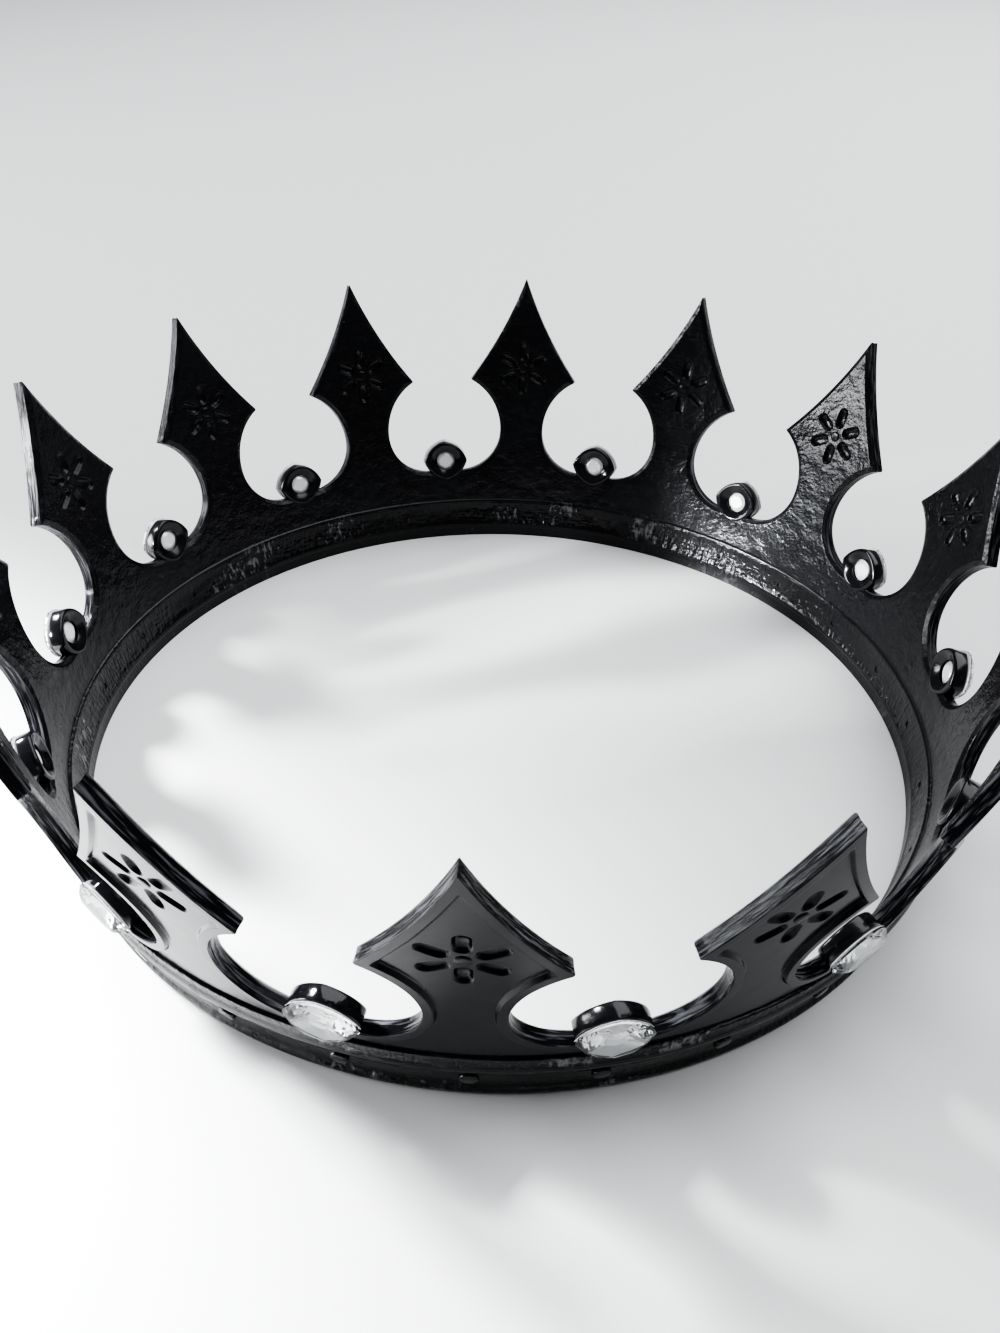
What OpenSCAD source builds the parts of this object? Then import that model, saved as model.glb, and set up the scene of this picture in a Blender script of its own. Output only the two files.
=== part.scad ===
// Rigid costume crown: a flared one-piece circlet with spear points,
// round gaps between them, and a clear stone glued on a collar in each gap.
// The front point faces -Y and the crown stands on its base at z = 0.

/* [Ring] */
// Number of spear points round the crown
points = 14; // [13:1:15]
// Radius of the middle of the wall at the base
base_r = 87; // [84:0.5:92]
// Lean of the wall outwards from upright, in degrees
flare = 14.1; // [10:0.1:18]
// Thickness of the wall
wall = 3; // [2.4:0.1:3.6]
// Height of the tips of the points
tip_z = 66; // [62:0.5:72]

/* [Points] */
// Height of the two side corners of a point
corner_z = 40.6; // [39:0.1:42]
// Width of a point across its two side corners
corner_w = 28.2; // [26:0.1:29]
// Radius of the hollow curve from a side corner up to the tip
edge_r = 100; // [80:1:400]
// Width of a point's neck, at its narrowest
neck_w = 11.4; // [10:0.1:13]
// Height at which the neck is narrowest
neck_z = 27.7; // [27:0.1:29]
// Height of the wall's lowest edge between two points
floor_z = 17.2; // [16.5:0.1:18.5]

/* [Band] */
// Height of the plain bead along the bottom edge
rim_h = 2.4; // [1.6:0.1:3]
// Height at which the upper moulding starts
mould_z = 9; // [8.4:0.1:10]
// Height of the upper moulding
mould_h = 3.4; // [2.4:0.1:3.6]
// How far the bead and the moulding stand out from the wall
relief = 0.9; // [0.5:0.1:1.2]
// Diameter of a stud
stud_d = 3.3; // [2.6:0.1:3.8]
// How far a stud stands out from the wall
stud_h = 1.1; // [0.6:0.1:1.4]

/* [Rosettes] */
// Height of a rosette's centre
rosette_z = 43.9; // [43:0.1:45]
// Radius over a rosette's petals
rosette_r = 6.2; // [5:0.1:6.6]
// Width of a petal
petal_w = 1.7; // [1.2:0.1:2.2]
// Depth of the petals sunk in both faces
petal_depth = 0.7; // [0.4:0.1:0.9]

/* [Stones] */
// Height of a stone's centre, measured at the wall
stone_z = 20; // [19.6:0.1:20.4]
// Width of a stone across its side corners
stone_w = 12; // [11:0.1:12.2]
// Height of a stone
stone_h = 10.8; // [10:0.1:11]
// Radius of a stone's four bowed sides
stone_side_r = 7.3; // [7:0.1:9]
// Thickness of a stone in front of its collar
stone_t = 2.6; // [2.2:0.1:3.2]
// Thickness of a stone's edge
girdle_t = 0.8; // [0.6:0.1:1.1]
// Length of a stone's pointed back, inside the collar
stone_back = 1.9; // [1.2:0.1:2.1]
// Depth of the seat for a stone, sunk in the wall's outer face
seat_depth = 0.8; // [0.5:0.1:1]
// How far a collar's rim keeps inside its stone's outline
collar_rim = 0.2; // [0:0.1:0.4]
// Distance the collar stands in from the wall's inner face
collar_in = 0.2; // [0.1:0.1:0.5]
// Diameter of the hole through a collar, behind the stone
collar_bore = 5.6; // [5:0.1:6.4]
// Diameter of the funnel at a collar's inner end
funnel_d = 8.6; // [7:0.1:8.8]
// Depth of that funnel
funnel_depth = 1.1; // [0.6:0.1:1.3]
// Air round a stone and behind it
stone_gap = 0.1; // [0.05:0.01:0.15]

/* [Hidden] */
two_digits = function (n) str(n < 10 ? "0" : "", n);

step_a = 360 / points;
front_a = -90;
wall_x = wall / cos(flare);
collar_end = wall / 2 - seat_depth;
ring_foot = 0.4;
ring_slope = 0.6;
facets = 8;
facet_lean = 52;
facet_in = 0.2;
cone_fn = 180;
arc_fn = 96;
small_fn = 36;

// Radius of the wall's middle at a height
function wall_r(z) = base_r + z * tan(flare);

// A place on the wall, by angle from a gap's middle and height, laid flat in that
// gap's own leaning plane
function flat(a, z) = [
    wall_r(z) * sin(a),
    (wall_r(z) * cos(a) - base_r) * sin(flare) + z * cos(flare)
];

// Centre of the circle of radius r through p and q that lies left of p to q
function arc_centre(p, q, r) =
    let (d = q - p, half = norm(d) / 2)
    (p + q) / 2 + [-d[1], d[0]] / norm(d) * sqrt(r * r - half * half);

corner = flat(step_a / 2 - asin(corner_w / 2 / wall_r(corner_z)), corner_z);
tip = flat(step_a / 2, tip_z);
edge_c = arc_centre(corner, tip, edge_r);
hole_y = flat(0, neck_z)[1];
hole_r = wall_r(neck_z) * sin(step_a / 2) - neck_w / 2;
floor_r = hole_y - flat(0, floor_z)[1];
floor_shift = hole_r - floor_r;
rosette_y = flat(0, rosette_z)[1];
stone_y = flat(0, stone_z)[1];
stud_y = (rim_h + mould_z) / 2 / cos(flare);

// Turn a child to an angle round the crown and lean it with the wall:
// its X points out of the wall and its Z up the slope
module on_wall(a) {
    rotate([0, 0, a]) translate([base_r, 0, 0]) rotate([0, flare, 0]) children();
}

// Extrude an outline drawn on the wall, from x0 to x1 along the wall's normal
module slab(x0, x1) {
    translate([x0, 0, 0]) rotate([90, 0, 90]) linear_extrude(x1 - x0) children();
}

// The smooth cone that the points are cut from
module shell() {
    rotate_extrude($fn = cone_fn) polygon([
        [wall_r(0) - wall_x / 2, 0],
        [wall_r(0) + wall_x / 2, 0],
        [wall_r(tip_z) + wall_x / 2, tip_z],
        [wall_r(tip_z) - wall_x / 2, tip_z]
    ]);
}

// A raised ring with sloped shoulders on the wall's outer face, from height z0 to z1
module raised_ring(z0, z1) {
    foot = wall_x / 2 + relief * ring_foot;
    top = wall_x / 2 + relief;
    rise = relief * ring_slope;
    rotate_extrude($fn = cone_fn) polygon([
        [wall_r(z0), z0],
        [wall_r(z0) + foot, z0],
        [wall_r(z0) + top, z0 + rise],
        [wall_r(z1) + top, z1 - rise],
        [wall_r(z1) + foot, z1],
        [wall_r(z1), z1]
    ]);
}

// The opening between two points: a round hole with a flatter floor,
// and above it the space between two hollow curved edges
module gap_outline() {
    translate([0, hole_y]) {
        intersection() {
            circle(hole_r, $fn = arc_fn);
            translate([-hole_r, 0]) square([2 * hole_r, hole_r]);
        }
        for (side = [-1, 1]) translate([side * floor_shift, 0]) circle(floor_r, $fn = arc_fn);
        translate([-floor_shift, -floor_r]) square([2 * floor_shift, floor_r]);
    }
    intersection() {
        translate(edge_c) circle(edge_r, $fn = arc_fn * 2);
        translate([-edge_c[0], edge_c[1]]) circle(edge_r, $fn = arc_fn * 2);
        translate([-tip_z / 2, hole_y + hole_r / 2]) square(tip_z);
    }
}

// Centre of the bowed side between the right and the upper corner of a cushion
function side_centre(w, h) = arc_centre([w / 2, 0], [0, h / 2], stone_side_r);

// A square on its corner with bowed sides, w wide and h high
module cushion(w, h) {
    c = side_centre(w, h);
    intersection_for (side = [[1, 1], [1, -1], [-1, 1], [-1, -1]])
        translate([c[0] * side[0], c[1] * side[1]]) circle(stone_side_r, $fn = arc_fn);
}

// Six petals round a dot
module rosette() {
    dot_r = petal_w / 3;
    petal_l = rosette_r - dot_r * 2;
    side_r = (petal_l * petal_l + petal_w * petal_w) / (4 * petal_w);
    circle(dot_r, $fn = small_fn);
    for (k = [0 : 5]) rotate(60 * k) translate([0, rosette_r - petal_l / 2]) intersection() {
        translate([side_r - petal_w / 2, 0]) circle(side_r, $fn = arc_fn);
        translate([petal_w / 2 - side_r, 0]) circle(side_r, $fn = arc_fn);
    }
}

module collar() {
    slab(-wall / 2 - collar_in, collar_end) translate([0, stone_y])
        cushion(stone_w - 2 * collar_rim, stone_h - 2 * collar_rim);
}

// What is cut away for a stone: its seat in the wall, the hole through its collar
// and the funnel at the collar's inner end
module stone_room() {
    translate([-wall, 0, stone_y]) rotate([0, 90, 0])
        cylinder(h = 2 * wall, d = collar_bore, $fn = arc_fn);
    translate([-wall / 2 - collar_in, 0, stone_y]) rotate([0, 90, 0])
        cylinder(h = funnel_depth, d1 = funnel_d, d2 = collar_bore, $fn = arc_fn);
    slab(collar_end, 2 * wall) translate([0, stone_y])
        cushion(stone_w + 3 * stone_gap, stone_h + 3 * stone_gap);
}

module stud() {
    translate([0, 0, stud_y]) rotate([0, 90, 0])
        cylinder(h = wall / 2 + stud_h, d = stud_d, $fn = small_fn);
}

module circlet() {
    color([0.03, 0.03, 0.035]) difference() {
        union() {
            difference() {
                shell();
                for (n = [0 : points - 1]) on_wall(front_a + (n + 0.5) * step_a)
                    slab(-base_r / 4, base_r / 4) gap_outline();
            }
            raised_ring(0, rim_h);
            raised_ring(mould_z, mould_z + mould_h);
            for (n = [0 : points - 1]) on_wall(front_a + (n + 0.5) * step_a) collar();
            for (n = [0 : 2 * points - 1]) on_wall(front_a + n * step_a / 2) stud();
        }
        for (n = [0 : points - 1]) {
            on_wall(front_a + (n + 0.5) * step_a) stone_room();
            for (x = [-wall, wall / 2 - petal_depth]) on_wall(front_a + n * step_a)
                slab(x, x + wall / 2 + petal_depth) translate([0, rosette_y]) rosette();
        }
    }
}

// Distance from a stone's middle to where a facet starts, a little inside the edge:
// to the side, up or down, or on the slant
function facet_reach(k) =
    let (c = side_centre(stone_w, stone_h))
    (k % 2 == 1 ? stone_side_r + (c[0] + c[1]) / sqrt(2) : (k % 4 == 0 ? stone_w : stone_h) / 2)
    - facet_in;

// A cut stone: an upright edge, eight facets sloping to a flat table,
// and a pointed back that fills the collar's hole
module stone(n) {
    back_d = collar_bore - 4 * stone_gap;
    color([0.86, 0.88, 0.9, 0.6]) on_wall(front_a + (n - 0.5) * step_a)
        translate([collar_end + stone_gap, 0, stone_y]) {
            difference() {
                slab(0, stone_t) cushion(stone_w, stone_h);
                for (k = [0 : facets - 1]) rotate([k * 360 / facets, 0, 0])
                    translate([girdle_t, facet_reach(k), -stone_w])
                        rotate([0, 0, -facet_lean]) cube(2 * stone_w);
            }
            rotate([0, -90, 0]) cylinder(h = stone_back, d1 = back_d, d2 = 1, $fn = small_fn);
        }
}

circlet();
for (n = [1 : points])
    stone(n);
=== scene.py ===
# Glossy black costume crown with clear stones, standing on a pale studio floor.
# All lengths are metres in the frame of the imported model.
import math

import bmesh
import bpy
from mathutils import Matrix, Vector
from mathutils.geometry import intersect_sphere_sphere_2d


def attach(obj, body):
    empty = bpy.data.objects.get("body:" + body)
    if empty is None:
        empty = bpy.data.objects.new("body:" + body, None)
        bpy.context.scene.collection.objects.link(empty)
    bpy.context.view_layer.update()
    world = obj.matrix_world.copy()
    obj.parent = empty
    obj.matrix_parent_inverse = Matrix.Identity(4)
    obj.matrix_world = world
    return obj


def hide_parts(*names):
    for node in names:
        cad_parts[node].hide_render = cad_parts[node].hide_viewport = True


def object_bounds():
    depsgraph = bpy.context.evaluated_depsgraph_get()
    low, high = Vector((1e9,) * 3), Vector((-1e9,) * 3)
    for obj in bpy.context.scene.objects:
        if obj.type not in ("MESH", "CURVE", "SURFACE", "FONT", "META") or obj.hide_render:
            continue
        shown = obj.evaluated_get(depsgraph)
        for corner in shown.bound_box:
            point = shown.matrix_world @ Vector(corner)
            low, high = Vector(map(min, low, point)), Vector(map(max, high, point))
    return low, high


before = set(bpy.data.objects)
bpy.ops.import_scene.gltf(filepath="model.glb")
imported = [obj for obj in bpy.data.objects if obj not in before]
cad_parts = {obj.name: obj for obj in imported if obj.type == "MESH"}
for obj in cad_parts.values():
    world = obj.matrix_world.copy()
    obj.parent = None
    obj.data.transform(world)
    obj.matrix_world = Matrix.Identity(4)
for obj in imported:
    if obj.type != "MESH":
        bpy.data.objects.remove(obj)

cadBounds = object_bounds()
mm = 0.001
samePlace = 1e-6              # two vertices this near are one
cutSlack = 1e-7               # a vertex this near a cutting plane lies on it

# The ring that every piece is placed on
crown = {
    "points": 14,
    "frontAngle": -90.0,      # degrees round the crown, where the first point stands
    "lean": 14.1,             # degrees the wall leans outwards
    "wall": 3.0 * mm,
}
lean = math.radians(crown["lean"])
stepAngle = math.tau / crown["points"]
firstAngle = math.radians(crown["frontAngle"])
halfWall = crown["wall"] / 2
tipHeight = cadBounds[1].z
baseRadius = cadBounds[1].y - tipHeight * math.tan(lean) - halfWall / math.cos(lean)
body = "root"


def midRadius(up):
    # radius of the wall's middle at a distance up the slope
    return baseRadius + up * math.sin(lean)


def upSlope(height):
    # distance up the slope to a height on the wall's middle
    return height / math.cos(lean)


def wallMatrix(angle):
    # flat wall coordinates (sideways, up the slope, outwards) to the crown, at one angle
    basis = Matrix(((0, 0, 1, 0), (1, 0, 0, 0), (0, 1, 0, 0), (0, 0, 0, 1)))
    place = Matrix.Rotation(angle, 4, "Z") @ Matrix.Translation((baseRadius, 0, 0))
    return place @ Matrix.Rotation(lean, 4, "Y") @ basis


def wrapOnWall(verts):
    # bends flat wall coordinates round the leaning ring, centred on the front point
    for vert in verts:
        side, up, out = vert.co
        angle = firstAngle + side / midRadius(up)
        radius = midRadius(up) + out * math.cos(lean)
        height = up * math.cos(lean) - out * math.sin(lean)
        vert.co = (radius * math.cos(angle), radius * math.sin(angle), height)


def vertsOf(geom):
    return [g for g in geom if isinstance(g, bmesh.types.BMVert)]


def edgesOf(geom):
    return [g for g in geom if isinstance(g, bmesh.types.BMEdge)]


def ringEdges(verts):
    # the edges of a ring, each once and in the ring's order
    return list(dict.fromkeys(e for v in verts for e in v.link_edges))


def sweepArc(bm, vert, centre, angle, steps):
    # draws an arc from a vertex and gives back its far end
    made = bmesh.ops.spin(bm, geom=[vert], cent=centre, axis=(0, 0, 1), angle=angle, steps=steps,
                          use_duplicate=False)
    return vertsOf(made["geom_last"])[0]


def drawLine(bm, vert, end):
    # draws a straight edge from a vertex and gives back its far end
    new = bmesh.ops.extrude_vert_indiv(bm, verts=[vert])["verts"][0]
    new.co = end
    return new


def turnBetween(start, end, centre):
    # angle round a centre from start to end, counterclockwise
    first, last = start - centre, end - centre
    return (math.atan2(last.y, last.x) - math.atan2(first.y, first.x)) % math.tau


def arcCentre(start, end, radius):
    # centre of the arc from start to end that lies left of the way from start to end
    chord = end - start
    normal = Vector((-chord.y, chord.x, 0)).normalized()
    return (start + end) / 2 + normal * math.sqrt(radius ** 2 - (chord.length / 2) ** 2)


def shadeByAngle(bm, limit):
    # smooth faces, with hard edges where the surface turns more than the limit
    for face in bm.faces:
        face.smooth = True
    for edge in bm.edges:
        edge.smooth = len(edge.link_faces) == 2 and edge.calc_face_angle(0) < math.radians(limit)


def finishPiece(name, bm, materials, nodes):
    mesh = bpy.data.meshes.new(name)
    bm.to_mesh(mesh)
    bm.free()
    piece = bpy.data.objects.new(name, mesh)
    bpy.context.scene.collection.objects.link(piece)
    for material in materials:
        mesh.materials.append(material)
    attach(piece, body)
    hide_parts(*nodes)
    print(f"{name}: {len(mesh.polygons)} faces")
    return piece


# Camera, at the photograph's viewing angle
camera = {
    "place": Vector((7.5, -185.1, 152.0)) * mm,
    "down": 36.23,            # degrees below level
    "turn": 2.45,             # degrees to the left
    "roll": 1.2,
    "lens": 29.46,
    "sensor": 36.0,
    "near": 10 * mm,          # nearer things aren't drawn
}


def makeCamera():
    data = bpy.data.cameras.new("camera")
    data.sensor_width = camera["sensor"]
    data.lens = camera["lens"]
    data.clip_start = camera["near"]
    obj = bpy.data.objects.new("camera", data)
    turned = (Matrix.Rotation(math.radians(camera["turn"]), 4, "Z")
              @ Matrix.Rotation(math.radians(90 - camera["down"]), 4, "X")
              @ Matrix.Rotation(math.radians(camera["roll"]), 4, "Z"))
    obj.matrix_world = Matrix.Translation(camera["place"]) @ turned
    bpy.context.scene.collection.objects.link(obj)
    bpy.context.scene.camera = obj
    print("camera placed")


# Node groups and materials

def newGroup(name, inputs, outputs):
    group = bpy.data.node_groups.new(name, "ShaderNodeTree")
    for label, kind, value in inputs:
        socket = group.interface.new_socket(name=label, in_out="INPUT", socket_type=kind)
        socket.default_value = value
    for label, kind in outputs:
        group.interface.new_socket(name=label, in_out="OUTPUT", socket_type=kind)
    return group, group.nodes.new("NodeGroupInput"), group.nodes.new("NodeGroupOutput")


def addNode(tree, kind, settings=None, sockets=None):
    node = tree.nodes.new(kind)
    for key, value in (settings or {}).items():
        setattr(node, key, value)
    for label, value in (sockets or {}).items():
        node.inputs[label].default_value = value
    return node


def mathNode(tree, operation, first, second=None, third=None, clamp=False):
    node = tree.nodes.new("ShaderNodeMath")
    node.operation = operation
    node.use_clamp = clamp
    for index, value in enumerate((first, second, third)):
        if value is None:
            continue
        if isinstance(value, (int, float)):
            node.inputs[index].default_value = value
        else:
            tree.links.new(value, node.inputs[index])
    return node.outputs[0]


def rangeNode(tree, value, fromMin, fromMax, toMin=0.0, toMax=1.0):
    # each limit is a number or a socket
    node = tree.nodes.new("ShaderNodeMapRange")
    tree.links.new(value, node.inputs["Value"])
    limits = {"From Min": fromMin, "From Max": fromMax, "To Min": toMin, "To Max": toMax}
    for label, limit in limits.items():
        if isinstance(limit, (int, float)):
            node.inputs[label].default_value = limit
        else:
            tree.links.new(limit, node.inputs[label])
    return node.outputs[0]


def noiseNode(tree, vector, scale, detail=2.0, stretch=None):
    # noise over a vector socket, stretched along its axes where given
    if stretch:
        mapping = tree.nodes.new("ShaderNodeMapping")
        mapping.inputs["Scale"].default_value = stretch
        tree.links.new(vector, mapping.inputs["Vector"])
        vector = mapping.outputs[0]
    node = tree.nodes.new("ShaderNodeTexNoise")
    tree.links.new(vector, node.inputs["Vector"])
    node.inputs["Detail"].default_value = detail
    if isinstance(scale, (int, float)):
        node.inputs["Scale"].default_value = scale
    else:
        tree.links.new(scale, node.inputs["Scale"])
    return node.outputs["Fac"]


def objectCoords(tree):
    return tree.nodes.new("ShaderNodeTexCoord").outputs["Object"]


layerLook = {
    "wobbleScale": 220.0,
    "wobble": 0.12 * mm,          # how far a line strays from level
    "alongScale": 22.0,           # streaks to a metre along the ring
}


def layerLinesGroup():
    # level lines left by making the crown in layers, and level streaks of uneven gloss
    group, gIn, gOut = newGroup("layerLines", [
        ("Line Height", "NodeSocketFloat", 0.25 * mm),
        ("Streak Height", "NodeSocketFloat", 0.9 * mm),
    ], [("Height", "NodeSocketFloat"), ("Streaks", "NodeSocketFloat")])
    coord = objectCoords(group)
    split = group.nodes.new("ShaderNodeSeparateXYZ")
    group.links.new(coord, split.inputs[0])
    wobble = noiseNode(group, coord, layerLook["wobbleScale"])
    shifted = mathNode(group, "MULTIPLY_ADD", wobble, layerLook["wobble"], split.outputs["Z"])
    turns = mathNode(group, "DIVIDE", shifted, gIn.outputs["Line Height"])
    group.links.new(mathNode(group, "PINGPONG", turns, 0.5), gOut.inputs["Height"])
    across = group.nodes.new("ShaderNodeCombineXYZ")
    for axis in ("X", "Y"):
        group.links.new(mathNode(group, "MULTIPLY", split.outputs[axis], layerLook["alongScale"]),
                        across.inputs[axis])
    group.links.new(mathNode(group, "DIVIDE", split.outputs["Z"], gIn.outputs["Streak Height"]),
                    across.inputs["Z"])
    group.links.new(noiseNode(group, across.outputs[0], 1.0, detail=3.0), gOut.inputs["Streaks"])
    return group


handlingLook = {
    "blotchScale": 38.0,
    "blotchRange": (0.38, 0.66),  # noise from clean to fully smudged
    "speckScale": 420.0,
    "speckSize": 0.11,
}


def handlingGroup():
    # soft blotches of handling and specks of dust
    group, gIn, gOut = newGroup("handling", [
        ("Smooth", "NodeSocketFloat", 0.08),
        ("Smudged", "NodeSocketFloat", 0.2),
        ("Dust", "NodeSocketFloat", 0.5),
    ], [("Roughness", "NodeSocketFloat"), ("Dust Mask", "NodeSocketFloat")])
    coord = objectCoords(group)
    blotch = noiseNode(group, coord, handlingLook["blotchScale"], detail=4.0)
    rough = rangeNode(group, blotch, *handlingLook["blotchRange"], gIn.outputs["Smooth"],
                      gIn.outputs["Smudged"])
    group.links.new(rough, gOut.inputs["Roughness"])
    specks = addNode(group, "ShaderNodeTexVoronoi", sockets={"Scale": handlingLook["speckScale"]})
    group.links.new(coord, specks.inputs["Vector"])
    near = rangeNode(group, specks.outputs["Distance"], 0.0, handlingLook["speckSize"], 1.0, 0.0)
    patch = mathNode(group, "MULTIPLY", near, blotch)
    dusty = mathNode(group, "MULTIPLY", patch, gIn.outputs["Dust"], clamp=True)
    group.links.new(dusty, gOut.inputs["Dust Mask"])
    return group


filedLook = {
    "scuffAndPaintedGlintRange": (0.5, 0.68),    # noise from whole to scuffed, the scuffs lightened partly as painted glint
}


def filedEdgeGroup():
    # scuffs that run along a filed edge, lighter in colour partly as wear and partly as painted glint; they
    # follow the wall's own "edge" and "out" attributes
    group, gIn, gOut = newGroup("filedEdge", [
        ("Across Scale", "NodeSocketFloat", 2600.0),
        ("Along Scale", "NodeSocketFloat", 170.0),
        ("Amount", "NodeSocketFloat", 1.0),
    ], [("Scuff And Painted Glint", "NodeSocketFloat"), ("Height", "NodeSocketFloat")])
    edge = addNode(group, "ShaderNodeAttribute", {"attribute_name": "edge"}).outputs["Fac"]
    out = addNode(group, "ShaderNodeAttribute", {"attribute_name": "out"}).outputs["Fac"]
    split = group.nodes.new("ShaderNodeSeparateXYZ")
    group.links.new(objectCoords(group), split.inputs[0])
    lay = group.nodes.new("ShaderNodeCombineXYZ")
    group.links.new(mathNode(group, "MULTIPLY", out, gIn.outputs["Across Scale"]), lay.inputs["X"])
    along = mathNode(group, "ADD", split.outputs["X"], split.outputs["Y"])
    group.links.new(mathNode(group, "MULTIPLY", along, gIn.outputs["Along Scale"]), lay.inputs["Y"])
    upward = mathNode(group, "MULTIPLY", split.outputs["Z"], gIn.outputs["Along Scale"])
    group.links.new(upward, lay.inputs["Z"])
    streak = noiseNode(group, lay.outputs[0], 1.0, detail=3.0)
    scuffAndPaintedGlint = mathNode(group, "MULTIPLY", rangeNode(group, streak, *filedLook["scuffAndPaintedGlintRange"]), edge)
    amount = mathNode(group, "MULTIPLY", scuffAndPaintedGlint, gIn.outputs["Amount"], clamp=True)
    group.links.new(amount, gOut.inputs["Scuff And Painted Glint"])
    group.links.new(mathNode(group, "MULTIPLY", streak, edge), gOut.inputs["Height"])
    return group


castLook = {
    "levelStretch": (0.35, 0.35, 1.6),
    "uprightStretch": (1.3, 1.3, 0.4),
    "levelShare": 0.4,            # of the level ridges beside the upright ones
    "patchRange": (0.35, 0.65),   # noise from smooth to rough patches
    "patchLeast": 0.25,
    "paintedGlintRange": (0.64, 0.82),  # height of a ridge from dull to a painted glint
}


def roughCastGroup():
    # fine crossing ridges and pits, broken up along the band, and a mask of the ridge tops for a painted
    # glint
    group, gIn, gOut = newGroup("roughCast", [
        ("Grain Size", "NodeSocketFloat", 1.1 * mm),
        ("Patch Scale", "NodeSocketFloat", 60.0),
    ], [("Height", "NodeSocketFloat"), ("Painted Glint", "NodeSocketFloat")])
    coord = objectCoords(group)
    scale = mathNode(group, "DIVIDE", 1.0, gIn.outputs["Grain Size"])
    level = noiseNode(group, coord, scale, detail=1.0, stretch=castLook["levelStretch"])
    upright = noiseNode(group, coord, scale, detail=1.0, stretch=castLook["uprightStretch"])
    spread = noiseNode(group, coord, gIn.outputs["Patch Scale"], detail=3.0)
    patches = rangeNode(group, spread, *castLook["patchRange"], castLook["patchLeast"], 1.0)
    ridges = mathNode(group, "MULTIPLY_ADD", level, castLook["levelShare"], upright)
    crossed = mathNode(group, "MULTIPLY", ridges, patches)
    group.links.new(crossed, gOut.inputs["Height"])
    group.links.new(rangeNode(group, crossed, *castLook["paintedGlintRange"]), gOut.inputs["Painted Glint"])
    return group


def placeGroup(tree, name, sockets=None):
    return addNode(tree, "ShaderNodeGroup", {"node_tree": groups[name]}, sockets).outputs


def mixColour(tree, factor, first, second):
    # each colour is a value or a socket
    node = addNode(tree, "ShaderNodeMix", {"data_type": "RGBA"})
    tree.links.new(factor, node.inputs["Factor"])
    for label, colour in (("A", first), ("B", second)):
        if isinstance(colour, tuple):
            node.inputs[label].default_value = colour
        else:
            tree.links.new(colour, node.inputs[label])
    return node.outputs["Result"]


def stackBumps(tree, shader, layers):
    # puts bump layers (height, distance) on each other, the broadest first
    normal = None
    for height, distance in layers:
        bump = addNode(tree, "ShaderNodeBump", sockets={"Strength": 1.0, "Distance": distance})
        tree.links.new(height, bump.inputs["Height"])
        if normal:
            tree.links.new(normal, bump.inputs["Normal"])
        normal = bump.outputs[0]
    tree.links.new(normal, shader.inputs["Normal"])


def newMaterial(name):
    material = bpy.data.materials.new(name)
    material.use_nodes = True
    return material, material.node_tree, material.node_tree.nodes["Principled BSDF"]


plastic = {
    "colour": (0.0045, 0.0045, 0.0055, 1),
    "worn": (0.010, 0.010, 0.012, 1),
    "dust": (0.20, 0.20, 0.21, 1),
    # lighter grey on filed edges: partly wear, partly a painted glint where the edges catch light
    "scuffAndPaintedGlint": (0.11, 0.11, 0.12, 1),
    "streakRough": 0.06,          # roughness that a streak adds
    "scuffRough": 0.3,
    "waveScale": 75.0,
    "lumpScale": 330.0,
    "lumpToGrain": 4,             # depth of the lumps for each depth of the grain
    "grainScale": 1500.0,
    "filedDepth": 0.16 * mm,
}
# gloss, roughness where smooth and where smudged, dust, layer lines, waves, grain (depths in mm)
finishes = {
    "faceBlack": {
        "specular": 0.12, "smooth": 0.10, "smudged": 0.17, "dust": 0.12,
        "lines": 0.002, "waves": 0.10, "grain": 0.004,
    },
    "innerBlack": {
        "specular": 0.30, "smooth": 0.14, "smudged": 0.30, "dust": 0.25,
        "lines": 0.010, "waves": 0.22, "grain": 0.085,
    },
    "collarBlack": {
        "specular": 0.45, "smooth": 0.07, "smudged": 0.18, "dust": 0.3,
        "lines": 0.004, "waves": 0.14, "grain": 0.014,
    },
}


def smoothPlastic(name):
    # glossy black plastic with faint layer lines, soft waves, fine grain and scuffs on a filed edge, the
    # scuffs lightened partly as painted glint
    finish = finishes[name]
    material, tree, shader = newMaterial(name)
    shader.inputs["Specular IOR Level"].default_value = finish["specular"]
    coord = objectCoords(tree)
    handled = placeGroup(tree, "handling", {"Smooth": finish["smooth"], "Smudged": finish["smudged"],
                                            "Dust": finish["dust"]})
    layered = placeGroup(tree, "layerLines")
    filed = placeGroup(tree, "filedEdge")
    base = mixColour(tree, layered["Streaks"], plastic["colour"], plastic["worn"])
    dusty = mixColour(tree, handled["Dust Mask"], base, plastic["dust"])
    # lighter grey in the filed-edge scuffs: partly wear, partly a painted glint
    tree.links.new(mixColour(tree, filed["Scuff And Painted Glint"], dusty, plastic["scuffAndPaintedGlint"]), shader.inputs["Base Color"])
    streaked = mathNode(tree, "MULTIPLY_ADD", layered["Streaks"], plastic["streakRough"],
                        handled["Roughness"])
    rough = mathNode(tree, "MULTIPLY_ADD", filed["Scuff And Painted Glint"], plastic["scuffRough"], streaked)
    tree.links.new(rough, shader.inputs["Roughness"])
    grain = finish["grain"] * mm
    stackBumps(tree, shader, [
        (noiseNode(tree, coord, plastic["waveScale"]), finish["waves"] * mm),
        (noiseNode(tree, coord, plastic["lumpScale"], detail=3.0), grain * plastic["lumpToGrain"]),
        (noiseNode(tree, coord, plastic["grainScale"]), grain),
        (filed["Height"], plastic["filedDepth"]),
        (layered["Height"], finish["lines"] * mm),
    ])
    return material


bandFinish = {
    "specular": 0.36, "smooth": 0.16, "smudged": 0.36, "dust": 0.5,
    "lineHeight": 0.3 * mm,
    "roughDepth": 0.7 * mm,
    "waves": 0.1 * mm,
    "lines": 0.006 * mm,
    # lighter grey on the rough ridge tops: a painted glint
    "paintedGlint": (0.14, 0.14, 0.15, 1),
}


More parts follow.
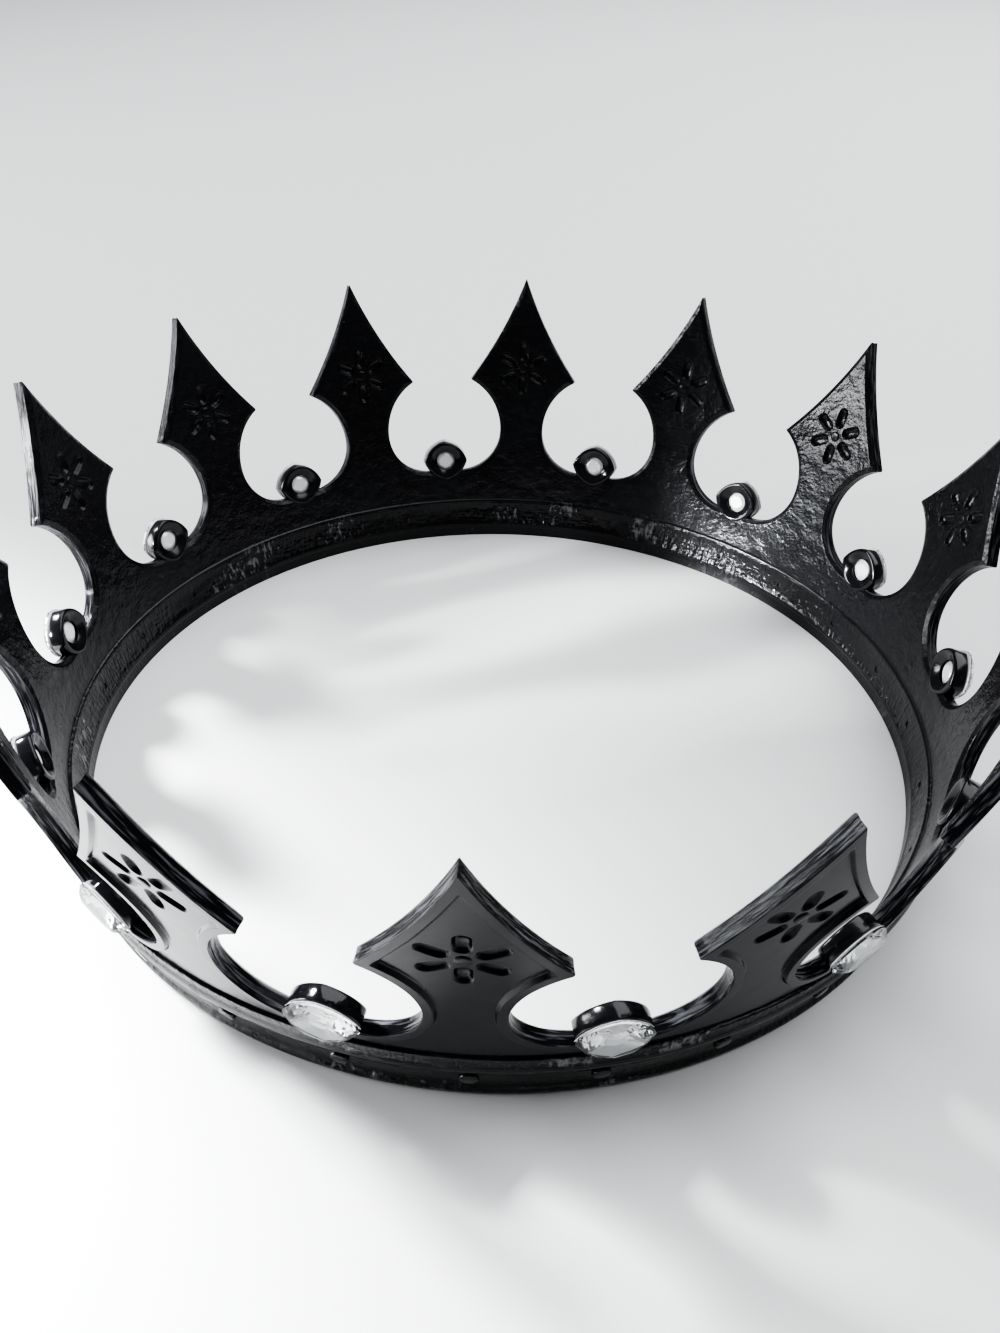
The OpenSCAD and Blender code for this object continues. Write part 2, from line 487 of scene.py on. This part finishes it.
def bandPlastic():
    # the same plastic where the band's mouldings came out rough, with a painted glint of lighter grey on the
    # ridge tops
    material, tree, shader = newMaterial("bandBlack")
    shader.inputs["Specular IOR Level"].default_value = bandFinish["specular"]
    handled = placeGroup(tree, "handling", {"Smooth": bandFinish["smooth"], "Smudged": bandFinish["smudged"],
                                            "Dust": bandFinish["dust"]})
    cast = placeGroup(tree, "roughCast")
    layered = placeGroup(tree, "layerLines", {"Line Height": bandFinish["lineHeight"]})
    coarse = addNode(tree, "ShaderNodeAttribute", {"attribute_name": "coarse"}).outputs["Fac"]
    # painted glint: lighter grey on the tops of the rough ridges
    paintedGlint = mathNode(tree, "MULTIPLY", cast["Painted Glint"], coarse)
    base = mixColour(tree, paintedGlint, plastic["colour"], bandFinish["paintedGlint"])
    dusty = mixColour(tree, handled["Dust Mask"], base, plastic["dust"])
    tree.links.new(dusty, shader.inputs["Base Color"])
    tree.links.new(handled["Roughness"], shader.inputs["Roughness"])
    stackBumps(tree, shader, [
        (noiseNode(tree, objectCoords(tree), plastic["waveScale"]), bandFinish["waves"]),
        (mathNode(tree, "MULTIPLY", cast["Height"], coarse), bandFinish["roughDepth"]),
        (layered["Height"], bandFinish["lines"]),
    ])
    return material


stoneGlass = {
    "ior": 1.55,
    "clear": (0.98, 0.985, 0.985, 1),
    "cloudy": (0.93, 0.95, 0.955, 1),
    "cloudScale": 160.0,
    "cloudRange": (0.35, 0.75),
    "roughness": (0.01, 0.10),    # where clear and where cloudy
}


def clearStone():
    material, tree, shader = newMaterial("clearStone")
    shader.inputs["Transmission Weight"].default_value = 1.0
    shader.inputs["IOR"].default_value = stoneGlass["ior"]
    cloud = noiseNode(tree, objectCoords(tree), stoneGlass["cloudScale"], detail=3.0)
    tree.links.new(mixColour(tree, cloud, stoneGlass["clear"], stoneGlass["cloudy"]),
                   shader.inputs["Base Color"])
    rough = rangeNode(tree, cloud, *stoneGlass["cloudRange"], *stoneGlass["roughness"])
    tree.links.new(rough, shader.inputs["Roughness"])
    return material


silverCoat = {
    "metallic": 0.3,
    "bright": (0.97, 0.97, 0.96, 1),
    "dull": (0.88, 0.89, 0.90, 1),
    "crinkleScale": 850.0,
    "crinkleDepth": 0.02 * mm,
    "roughness": (0.25, 0.45),    # inside a crinkle and at its edge
}


def silverBack():
    # the crinkled silver coat on the back of a stone
    material, tree, shader = newMaterial("silverBack")
    shader.inputs["Metallic"].default_value = silverCoat["metallic"]
    crinkle = addNode(tree, "ShaderNodeTexVoronoi", sockets={"Scale": silverCoat["crinkleScale"]})
    tree.links.new(objectCoords(tree), crinkle.inputs["Vector"])
    far = crinkle.outputs["Distance"]
    tree.links.new(mixColour(tree, far, silverCoat["bright"], silverCoat["dull"]),
                   shader.inputs["Base Color"])
    tree.links.new(rangeNode(tree, far, 0.0, 1.0, *silverCoat["roughness"]), shader.inputs["Roughness"])
    stackBumps(tree, shader, [(far, silverCoat["crinkleDepth"])])
    return material


# The wall: one spear point drawn flat, bent on the ring and repeated
point = {
    "holeHeight": 27.7 * mm,      # widest line of the round gaps
    "holeRadius": 15.35 * mm,
    "floorHeight": 17.2 * mm,     # lowest edge of the wall, between two points
    "cornerTurn": 27.4,           # degrees from the top of a gap to a side corner
    "edgeRadius": 100.0 * mm,     # hollow curve from a side corner to the tip
    "blunt": 0.25 * mm,           # taken off the tip and the side corners
    "edgeSteps": 12,              # straight parts of the hollow curve
    "holeSteps": 14,              # of the gap above its widest line
    "floorSteps": 16,             # and below it
    "slices": 34,                 # upright cuts that let the flat sheet bend
    "hardAngle": 48,              # degrees between faces from which an edge is drawn hard
    "sideSpare": 4.0 * mm,        # drawn past the join between two points, then cut off
    "footSpare": 4.0 * mm,
    "joinDistance": 0.01 * mm,    # between the edges of two neighbours that become one
    # the border from the inner face over the edge to the sunk outer panel, in mm:
    # how far inside the outline, how far out from the wall's middle, 1 where it is filed edge
    "border": [
        (1.50, -1.50, 0), (1.12, -1.50, 0), (1.00, -1.48, 0), (0.90, -1.42, 0), (0.26, -1.12, 0.2),
        (0.12, -1.02, 0.6), (0.03, -0.88, 1), (0.00, -0.60, 1), (0.04, 0.10, 1), (0.03, 0.75, 1),
        (0.00, 1.30, 1), (0.04, 1.43, 0.6), (0.14, 1.50, 0.2), (0.24, 1.50, 0), (1.40, 1.50, 0),
        (1.50, 1.50, 0), (1.60, 1.42, 0), (1.84, 0.86, 0), (1.94, 0.78, 0), (2.42, 0.78, 0),
    ],
    "seatFloor": -0.6 * mm,       # from the wall's middle; nothing further in moves for a stone's seat
    "seatLeast": 0.1 * mm,        # of the rim left above that
    "panelOut": 0.78 * mm,        # the sunk outer panel, from the wall's middle
}


def holeCentre():
    up = upSlope(point["holeHeight"])
    return Vector((stepAngle / 2 * midRadius(up), up, 0))


def edgeCentre():
    turn = math.radians(point["cornerTurn"])
    corner = holeCentre() + Vector((-math.sin(turn), math.cos(turn), 0)) * point["holeRadius"]
    tip = Vector((0, upSlope(tipHeight) - point["blunt"], 0))
    return arcCentre(tip, corner, point["edgeRadius"])


def drawHalfOutline(bm, inset, out):
    # from the tip down the right side to the foot, some way inside the outline
    level = Vector((0, 0, out))
    hole, edge = holeCentre() + level, edgeCentre() + level
    holeRadius, edgeRadius = point["holeRadius"] + inset, point["edgeRadius"] + inset
    floorRadius = hole.y - upSlope(point["floorHeight"])
    tip = Vector((0, edge.y - math.sqrt(edgeRadius ** 2 - edge.x ** 2), out))
    crossings = intersect_sphere_sphere_2d(hole.to_2d(), holeRadius, edge.to_2d(), edgeRadius)
    corner = min(crossings, key=lambda place: place.x).to_3d() + level
    edgeSkip, holeSkip = point["blunt"] / edgeRadius, point["blunt"] / holeRadius
    start = edge + Matrix.Rotation(edgeSkip, 3, "Z") @ (tip - edge)
    vert = drawLine(bm, bm.verts.new((0, start.y + point["blunt"] / 2, out)), start)
    vert = sweepArc(bm, vert, edge, turnBetween(start, corner, edge) - edgeSkip, point["edgeSteps"])
    after = hole + Matrix.Rotation(holeSkip, 3, "Z") @ (corner - hole)
    vert = drawLine(bm, vert, after)
    vert = sweepArc(bm, vert, hole, turnBetween(after, hole - Vector((1, 0, 0)), hole), point["holeSteps"])
    shift = Vector((floorRadius - point["holeRadius"], 0, 0))
    vert = sweepArc(bm, vert, hole + shift, math.radians(90), point["floorSteps"])
    past, foot = hole.x + point["sideSpare"] - inset, inset - point["footSpare"]
    vert = drawLine(bm, vert, (past, vert.co.y, out))
    vert = drawLine(bm, vert, (past, foot, out))
    drawLine(bm, vert, (0, foot, out))


def allGeom(bm):
    return bm.verts[:] + bm.edges[:] + bm.faces[:]


def slicePlane(bm, angle, **cut):
    # cuts along a line that runs straight up the wall at one angle from the middle of a point
    bmesh.ops.bisect_plane(bm, geom=allGeom(bm), dist=cutSlack,
                           plane_co=(0, -baseRadius / math.sin(lean), 0),
                           plane_no=(1, -angle * math.sin(lean), 0), **cut)


# Six petals sunk round a raised dot, on both faces of a point
rosette = {
    "petals": 6,
    "height": 43.9 * mm,
    "radius": 6.9 * mm,
    "petalLength": 5.0 * mm,
    "petalWidth": 2.7 * mm,
    "dotRadius": 1.2 * mm,
    # mm inside the mouth of a petal and mm deep; the first row lies flat round it
    "petalSteps": [(-0.08, 0.0), (0.0, 0.0), (0.12, 0.07), (0.32, 0.46), (0.62, 0.74)],
    "dotSteps": [(-0.08, 0.0), (0.0, 0.0), (0.10, -0.14), (0.34, -0.22)],
    "turns": 20,
}


def drawOval(bm, place, length, width):
    # a circle pulled out into an oval with round ends; gives back its edges
    made = bmesh.ops.create_circle(bm, segments=rosette["turns"], radius=width / 2)["verts"]
    for vert in made:
        if abs(vert.co.y) > samePlace:
            vert.co.y += math.copysign((length - width) / 2, vert.co.y)
    bmesh.ops.transform(bm, matrix=place, verts=made)
    return ringEdges(made)


def sinkOval(bm, place, length, width, steps, side):
    # walls and floor of one petal or dot; gives back the edges of its outermost row
    rows = []
    for inset, depth in steps:
        lower = Matrix.Translation((0, 0, -side * depth * mm))
        rows.append(drawOval(bm, lower @ place, length - 2 * inset * mm, width - 2 * inset * mm))
    for first, second in zip(rows, rows[1:]):
        bmesh.ops.bridge_loops(bm, edges=first + second)
    bmesh.ops.edgeloop_fill(bm, edges=rows[-1])
    return rows[0]


def cutRosette(bm, side):
    # opens the flat face on one side round the petals and puts the petals and the dot in
    level = point["panelOut"] if side > 0 else -halfWall
    face = max((f for f in bm.faces if all(abs(v.co.z - level) < samePlace for v in f.verts)),
               key=lambda f: f.calc_area())
    centre = Matrix.Translation((0, upSlope(rosette["height"]), level))
    rim = list(face.edges)
    bmesh.ops.delete(bm, geom=[face], context="FACES_ONLY")
    dotWidth = 2 * rosette["dotRadius"]
    mouths = sinkOval(bm, centre, dotWidth, dotWidth, rosette["dotSteps"], side)
    for index in range(rosette["petals"]):
        spin = Matrix.Rotation(index * math.tau / rosette["petals"], 4, "Z")
        along = Matrix.Translation((0, rosette["radius"] - rosette["petalLength"] / 2, 0))
        mouths += sinkOval(bm, centre @ spin @ along, rosette["petalLength"], rosette["petalWidth"],
                           rosette["petalSteps"], side)
    bmesh.ops.triangle_fill(bm, use_beauty=True, use_dissolve=False, edges=rim + mouths,
                            normal=Vector((0, 0, side)))


def sinkSeats(bm):
    # lowers the rim of a gap where a stone's pointed back goes through it
    for vert in bm.verts:
        side, up, out = vert.co
        place = Vector((stepAngle / 2 * midRadius(up) - abs(side), up - upSlope(setting["height"]), 0))
        part = place.length / cushionRadius(math.atan2(place.y, place.x), gem["width"], gem["tall"])
        if out <= point["seatFloor"] or part > gem["girdle"][0][0]:
            continue
        level = max(stoneBackOut(part) - gem["seatAir"], point["seatFloor"] + point["seatLeast"])
        if level < halfWall:
            share = (level - point["seatFloor"]) / (halfWall - point["seatFloor"])
            vert.co.z = point["seatFloor"] + (out - point["seatFloor"]) * share


def buildWall():
    bm = bmesh.new()
    edgeLayer = bm.verts.layers.float.new("edge")
    outLayer = bm.verts.layers.float.new("out")
    rowLayer = bm.verts.layers.int.new("row")
    for index, (inset, out, filed) in enumerate(point["border"]):
        drawHalfOutline(bm, inset * mm, out * mm)
        for vert in [v for v in bm.verts if v[rowLayer] == 0]:
            vert[rowLayer] = index + 1
            vert[edgeLayer] = filed
    rows = [[e for e in bm.edges if e.verts[0][rowLayer] == row + 1] for row in range(len(point["border"]))]
    for first, second in zip(rows, rows[1:]):
        bmesh.ops.bridge_loops(bm, edges=first + second)
    bmesh.ops.mirror(bm, geom=allGeom(bm), merge_dist=samePlace, axis="X")
    bmesh.ops.remove_doubles(bm, verts=bm.verts[:], dist=samePlace)
    for row in (1, len(rows)):
        bmesh.ops.edgeloop_fill(bm, edges=[e for e in bm.edges if all(v[rowLayer] == row for v in e.verts)])
    cut = bmesh.ops.bisect_plane(bm, geom=allGeom(bm), dist=cutSlack, plane_co=(0, 0, 0),
                                 plane_no=(0, math.cos(lean), -math.sin(lean)), clear_inner=True)
    bmesh.ops.edgeloop_fill(bm, edges=edgesOf(cut["geom_cut"]))
    for side in (-1, 1):
        slicePlane(bm, side * stepAngle / 2, clear_outer=side > 0, clear_inner=side < 0)
    bmesh.ops.recalc_face_normals(bm, faces=bm.faces[:])
    for side in (-1, 1):
        cutRosette(bm, side)
    for index in range(1, point["slices"]):
        slicePlane(bm, stepAngle * (index / point["slices"] - 0.5))
    sinkSeats(bm)
    for vert in bm.verts:
        vert[outLayer] = vert.co.z
    for face in bm.faces:
        face.material_index = 1 if face.calc_center_median().z < -halfWall / 2 else 0
    wrapOnWall(bm.verts)
    copies = crown["points"] - 1
    bmesh.ops.spin(bm, geom=allGeom(bm), cent=(0, 0, 0), axis=(0, 0, 1), angle=stepAngle * copies,
                   steps=copies, use_duplicate=True)
    bmesh.ops.remove_doubles(bm, verts=bm.verts[:], dist=point["joinDistance"])
    bmesh.ops.recalc_face_normals(bm, faces=bm.faces[:])
    shadeByAngle(bm, point["hardAngle"])
    return finishPiece("circlet_wall", bm, [materials["face"], materials["inner"]], ["circlet"])


# Band: mouldings turned as rings
band = {
    "stepsPerStud": 12,           # straight parts round the ring from one stud to the next
    # mm up the slope, mm out from the wall's face, 1 where it came out rough
    "outer": [
        (0.38, -0.4, 1), (0.5, 0.1, 1), (0.75, 0.37, 1), (1.1, 0.47, 1), (1.6, 0.47, 1), (2.0, 0.41, 1),
        (2.35, 0.05, 1), (2.6, -0.17, 1), (2.9, -0.23, 0.8), (4.5, -0.23, 0.3), (7.0, -0.23, 0.3),
        (8.4, -0.21, 0.8), (8.7, -0.08, 0.8), (8.95, 0.2, 0.3), (9.2, 0.35, 0), (9.55, 0.42, 0),
        (9.95, 0.42, 0), (10.3, 0.35, 0), (10.6, 0.22, 0.5), (10.85, 0.0, 1), (11.1, -0.1, 1),
        (12.4, -0.2, 1), (12.75, -0.3, 1), (13.0, -0.5, 0.5), (13.1, -0.9, 0), (13.1, -1.3, 0),
        (0.3, -1.3, 0),
    ],
    "inner": [
        (-0.38, 0.04, 0.2), (1.7, 0.04, 0.2), (1.9, 0.12, 0.2), (2.15, 0.40, 0.2), (2.4, 0.42, 0.3),
        (2.8, 0.26, 0.9), (5.15, 0.25, 1), (6.45, 0.25, 1), (8.7, 0.26, 1), (9.0, 0.44, 0.5),
        (9.35, 0.48, 0.3), (9.65, 0.40, 0.3), (9.9, 0.0, 0.3), (9.95, -0.3, 0), (-0.3, -0.3, 0),
    ],
    "dimpleFrom": 5.15 * mm,
    "dimpleTo": 6.45 * mm,
    "dimpleReach": 0.5 * mm,      # how far above that a chosen face may still lie
    "dimpleBorder": 0.14 * mm,
    "dimpleSlope": 0.08 * mm,
    "dimpleDepth": 0.22 * mm,
    "joinDistance": 0.005 * mm,
    "hardAngle": 45,
}
studCount = 2 * crown["points"]
bandSteps = band["stepsPerStud"] * studCount


def spunRing(bm, profile, side, startAngle):
    # turns a closed profile of (up the slope, out from the wall's face) round the crown
    coarse = bm.verts.layers.float.get("coarse") or bm.verts.layers.float.new("coarse")
    matrix = wallMatrix(startAngle)
    verts = []
    for up, out, rough in profile:
        vert = bm.verts.new(matrix @ Vector((0, up * mm, side * (halfWall + out * mm))))
        vert[coarse] = rough
        verts.append(vert)
    edges = [bm.edges.new((verts[i - 1], verts[i])) for i in range(len(verts))]
    bmesh.ops.spin(bm, geom=verts + edges, cent=(0, 0, 0), axis=(0, 0, 1), angle=math.tau,
                   steps=bandSteps, use_merge=True, use_duplicate=False)


def sinkDimples(bm, startAngle):
    # a small square dimple in the inner panel behind each stud
    pitch = math.tau / studCount
    low, high = (band[key] * math.cos(lean) for key in ("dimpleFrom", "dimpleTo"))
    halfStep = 0.5 / band["stepsPerStud"]
    chosen = []
    for face in bm.faces:
        middle = face.calc_center_median()
        inside = middle.to_2d().length < midRadius(middle.z) - halfWall
        turn = (math.atan2(middle.y, middle.x) - firstAngle) / pitch
        level = low < middle.z < high + band["dimpleReach"]
        if inside and level and abs(turn - round(turn)) < halfStep:
            chosen.append(face)
    for thickness, depth in ((band["dimpleBorder"], 0), (band["dimpleSlope"], -band["dimpleDepth"])):
        bmesh.ops.inset_individual(bm, faces=chosen, thickness=thickness, depth=depth, use_even_offset=True)
    return len(chosen)


def buildBand():
    bm = bmesh.new()
    startAngle = firstAngle + math.tau / bandSteps / 2
    spunRing(bm, band["outer"], 1, startAngle)
    spunRing(bm, band["inner"], -1, startAngle)
    bmesh.ops.remove_doubles(bm, verts=bm.verts[:], dist=band["joinDistance"])
    for vert in bm.verts:
        vert.co.z = max(vert.co.z, 0.0)
    bmesh.ops.recalc_face_normals(bm, faces=bm.faces[:])
    print("dimples:", sinkDimples(bm, startAngle))
    shadeByAngle(bm, band["hardAngle"])
    return finishPiece("band_mouldings", bm, [materials["band"]], ["circlet"])


stud = {
    "up": 5.75 * mm,
    "radius": 1.55 * mm,
    "rise": 0.33 * mm,            # above the wall's face
    "root": 0.8 * mm,
    "turns": 28,
    "edge": 0.34 * mm,            # rounded off round its face
    "edgeSteps": 3,
    "rimAngle": 79,               # degrees that the wall of a stud turns into its face, at least
    "hardAngle": 40,
}


def buildStuds():
    bm = bmesh.new()
    for index in range(studCount):
        matrix = wallMatrix(firstAngle + index * stepAngle / 2)
        place = matrix @ Matrix.Translation((0, stud["up"], halfWall + (stud["rise"] - stud["root"]) / 2))
        bmesh.ops.create_cone(bm, cap_ends=True, segments=stud["turns"], radius1=stud["radius"],
                              radius2=stud["radius"], depth=stud["rise"] + stud["root"], matrix=place)
    rims = [e for e in bm.edges if e.calc_face_angle(0) > math.radians(stud["rimAngle"])]
    bmesh.ops.bevel(bm, geom=rims, offset=stud["edge"], offset_type="OFFSET", segments=stud["edgeSteps"],
                    profile=0.5, affect="EDGES", material=-1, clamp_overlap=True)
    shadeByAngle(bm, stud["hardAngle"])
    return finishPiece("studs", bm, [materials["collar"]], ["circlet"])


# Stones and the collars that hold them: cushions on their corners with four bowed sides
setting = {
    "height": 20.0 * mm,
    "sideRadius": 7.3 * mm,
    "turns": 64,
    "width": 11.6 * mm,           # of the collar
    "tall": 10.4 * mm,
    "hardAngle": 42,
    # from the inner face to the rim: mm inside the outline, mm out from the wall's middle
    "cushion": [
        (0.55, -1.72), (0.28, -1.66), (0.08, -1.48), (0.0, -1.2), (0.0, 0.9), (0.06, 1.08), (0.2, 1.2),
        (0.4, 1.22), (0.75, 1.0),
    ],
    # back through the round hole: mm of radius, mm out from the wall's middle
    "hole": [(2.7, -0.62), (2.5, -0.72), (2.5, -0.86), (2.75, -1.05), (3.9, -1.58), (4.2, -1.68)],
}
gem = {
    "width": 12.0 * mm,
    "tall": 10.8 * mm,
    "turns": 24,
    "facets": 8,
    # part of the full width, mm out from the wall's middle
    "back": (0.28, -0.6),
    "girdle": ((0.985, 1.51), (1.0, 1.62), (1.0, 1.95)),
    "shoulder": (0.86, 2.78),
    "table": (0.67, 3.34),
    "seatAir": 0.15 * mm,         # between a stone's sloped back and the wall
    "air": 0.01,                  # mm between a stone and its silver coat
    "coat": 0.05,                 # mm of silver coat
    "flatTurn": 1.5,              # degrees that faces of one facet may differ
}


def cushionRadius(angle, width, tall):
    # distance from the middle of a cushion to its bowed side, in one direction
    side, up = abs(math.cos(angle)), abs(math.sin(angle))
    centre = arcCentre(Vector((width / 2, 0, 0)), Vector((0, tall / 2, 0)), setting["sideRadius"])
    along = side * centre.x + up * centre.y
    return along + math.sqrt(setting["sideRadius"] ** 2 - centre.length_squared + along ** 2)


def stoneBackOut(part):
    # how far out the sloped back of a stone lies at a part of its width
    rimPart, rimOut = gem["girdle"][0]
    backPart, backOut = gem["back"]
    return (rimOut + (part - rimPart) / (rimPart - backPart) * (rimOut - backOut)) * mm


def gapMatrix(index):
    angle = firstAngle + (index + 0.5) * stepAngle
    return wallMatrix(angle) @ Matrix.Translation((0, upSlope(setting["height"]), 0))


def drawRing(bm, turns, radiusAt, out, turned=0.0):
    # a ring of edges whose radius changes with the angle; gives back its edges
    made = bmesh.ops.create_circle(bm, segments=turns, radius=1.0)["verts"]
    for vert in made:
        angle = math.atan2(vert.co.y, vert.co.x) + turned
        radius = radiusAt(angle)
        vert.co = (radius * math.cos(angle), radius * math.sin(angle), out)
    return ringEdges(made)


def repeatInGaps(one):
    # copies one flat piece to every gap of the crown
    mesh = bpy.data.meshes.new("pattern")
    one.to_mesh(mesh)
    one.free()
    bm = bmesh.new()
    for index in range(crown["points"]):
        before = len(bm.verts)
        bm.from_mesh(mesh)
        bm.verts.ensure_lookup_table()
        bmesh.ops.transform(bm, matrix=gapMatrix(index), verts=bm.verts[before:])
    bpy.data.meshes.remove(mesh)
    return bm


def buildCollars():
    one = bmesh.new()
    rows = []
    for inset, out in setting["cushion"]:
        width, tall = (setting[key] - 2 * inset * mm for key in ("width", "tall"))
        rows.append(drawRing(one, setting["turns"], lambda a: cushionRadius(a, width, tall), out * mm))
    for radius, out in setting["hole"]:
        rows.append(drawRing(one, setting["turns"], lambda a: radius * mm, out * mm))
    for first, second in zip(rows, rows[1:] + rows[:1]):
        bmesh.ops.bridge_loops(one, edges=first + second)
    bmesh.ops.recalc_face_normals(one, faces=one.faces[:])
    bm = repeatInGaps(one)
    shadeByAngle(bm, setting["hardAngle"])
    return finishPiece("collars", bm, [materials["collar"]], ["circlet"])


def gemRing(bm, turns, part, out, turned=0.0, grow=0.0):
    return drawRing(bm, turns, lambda a: cushionRadius(a, gem["width"], gem["tall"]) * part + grow,
                    out * mm, turned)


def buildStone(index):
    bm = bmesh.new()
    half = math.tau / gem["facets"] / 2
    gemRing(bm, gem["turns"], *gem["back"])
    for part, out in gem["girdle"]:
        gemRing(bm, gem["turns"], part, out)
    gemRing(bm, gem["facets"], *gem["shoulder"], turned=half)
    gemRing(bm, gem["facets"], *gem["table"])
    bmesh.ops.convex_hull(bm, input=bm.verts[:])
    bmesh.ops.delete(bm, geom=[e for e in bm.edges if not e.link_faces], context="EDGES")
    bmesh.ops.delete(bm, geom=[v for v in bm.verts if not v.link_faces], context="VERTS")
    bmesh.ops.dissolve_limit(bm, angle_limit=math.radians(gem["flatTurn"]), verts=bm.verts[:],
                             edges=bm.edges[:])
    bmesh.ops.recalc_face_normals(bm, faces=bm.faces[:])
    bmesh.ops.transform(bm, matrix=gapMatrix(index), verts=bm.verts[:])
    name = f"stone_{index + 1:02d}"
    return finishPiece("cut_" + name, bm, [materials["stone"]], [name])


def buildSilverBacks():
    # a thin coat that lies on the back facets of each stone
    one = bmesh.new()
    rimPart, rimOut = gem["girdle"][0]
    backPart, backOut = gem["back"]
    rim = gemRing(one, gem["turns"], rimPart, rimOut - gem["air"], grow=gem["air"] * mm)
    back = gemRing(one, gem["turns"], backPart, backOut - gem["air"], grow=gem["air"] * mm)
    bmesh.ops.bridge_loops(one, edges=rim + back)
    bmesh.ops.edgeloop_fill(one, edges=back)
    bmesh.ops.recalc_face_normals(one, faces=one.faces[:])
    if sum(f.normal.z * f.calc_area() for f in one.faces) > 0:
        bmesh.ops.reverse_faces(one, faces=one.faces[:])
    bmesh.ops.solidify(one, geom=one.faces[:], thickness=-gem["coat"] * mm)
    bmesh.ops.recalc_face_normals(one, faces=one.faces[:])
    bm = repeatInGaps(one)
    names = [f"stone_{index + 1:02d}" for index in range(crown["points"])]
    return finishPiece("silver_backs", bm, [materials["silver"]], names)


# Floor and lights
studio = {
    "floorSize": 6.0,
    "floorColour": (0.78, 0.775, 0.765, 1),
    "floorRoughness": 0.6,
    "worldColour": (0.75, 0.78, 0.82, 1),
    "worldStrength": 0.25,
    "lightColour": (0.95, 0.975, 1.0),
    "look": "AgX - High Contrast",
    # name: place, aim, width, height, spread in degrees, watts
    "lights": {
        "window": ((-1.1, 0.0, 0.24), (0, 0, 0.06), 0.5, 0.38, 180, 13.8),
        "key": ((-0.46, 0.09, 0.34), (-0.155, -0.082, 0.0), 0.14, 0.14, 25, 1.15),
        "low": ((-0.42, -0.15, 0.14), (0.067, 0.058, -0.004), 0.06, 0.02, 9, 0.034),
        "above": ((0.9, 0.8, 1.8), (0.7, 0.6, 0), 3.0, 2.4, 180, 74.0),
    },
}


def makeStudio():
    bm = bmesh.new()
    bmesh.ops.create_grid(bm, x_segments=2, y_segments=2, size=studio["floorSize"] / 2)
    mesh = bpy.data.meshes.new("floor")
    bm.to_mesh(mesh)
    bm.free()
    floor = bpy.data.objects.new("floor", mesh)
    bpy.context.scene.collection.objects.link(floor)
    material, _, shader = newMaterial("floor")
    shader.inputs["Base Color"].default_value = studio["floorColour"]
    shader.inputs["Roughness"].default_value = studio["floorRoughness"]
    mesh.materials.append(material)
    world = bpy.data.worlds.new("studio")
    world.use_nodes = True
    background = world.node_tree.nodes["Background"]
    background.inputs["Color"].default_value = studio["worldColour"]
    background.inputs["Strength"].default_value = studio["worldStrength"]
    bpy.context.scene.world = world
    for name, (place, aim, width, height, spread, watts) in studio["lights"].items():
        data = bpy.data.lights.new(name, "AREA")
        data.shape = "RECTANGLE"
        data.size, data.size_y, data.energy = width, height, watts
        data.spread = math.radians(spread)
        data.color = studio["lightColour"]
        light = bpy.data.objects.new(name, data)
        light.location = place
        light.rotation_euler = (Vector(aim) - Vector(place)).to_track_quat("-Z", "Y").to_euler()
        bpy.context.scene.collection.objects.link(light)
    bpy.context.scene.view_settings.view_transform = "AgX"
    bpy.context.scene.view_settings.look = studio["look"]
    print("studio made")


makeCamera()
groups = {
    "layerLines": layerLinesGroup(),
    "handling": handlingGroup(),
    "filedEdge": filedEdgeGroup(),
    "roughCast": roughCastGroup(),
}
materials = {
    "face": smoothPlastic("faceBlack"),
    "inner": smoothPlastic("innerBlack"),
    "collar": smoothPlastic("collarBlack"),
    "band": bandPlastic(),
    "stone": clearStone(),
    "silver": silverBack(),
}
print("materials ready")
buildWall()
buildBand()
buildStuds()
buildCollars()
for index in range(crown["points"]):
    buildStone(index)
buildSilverBacks()
makeStudio()
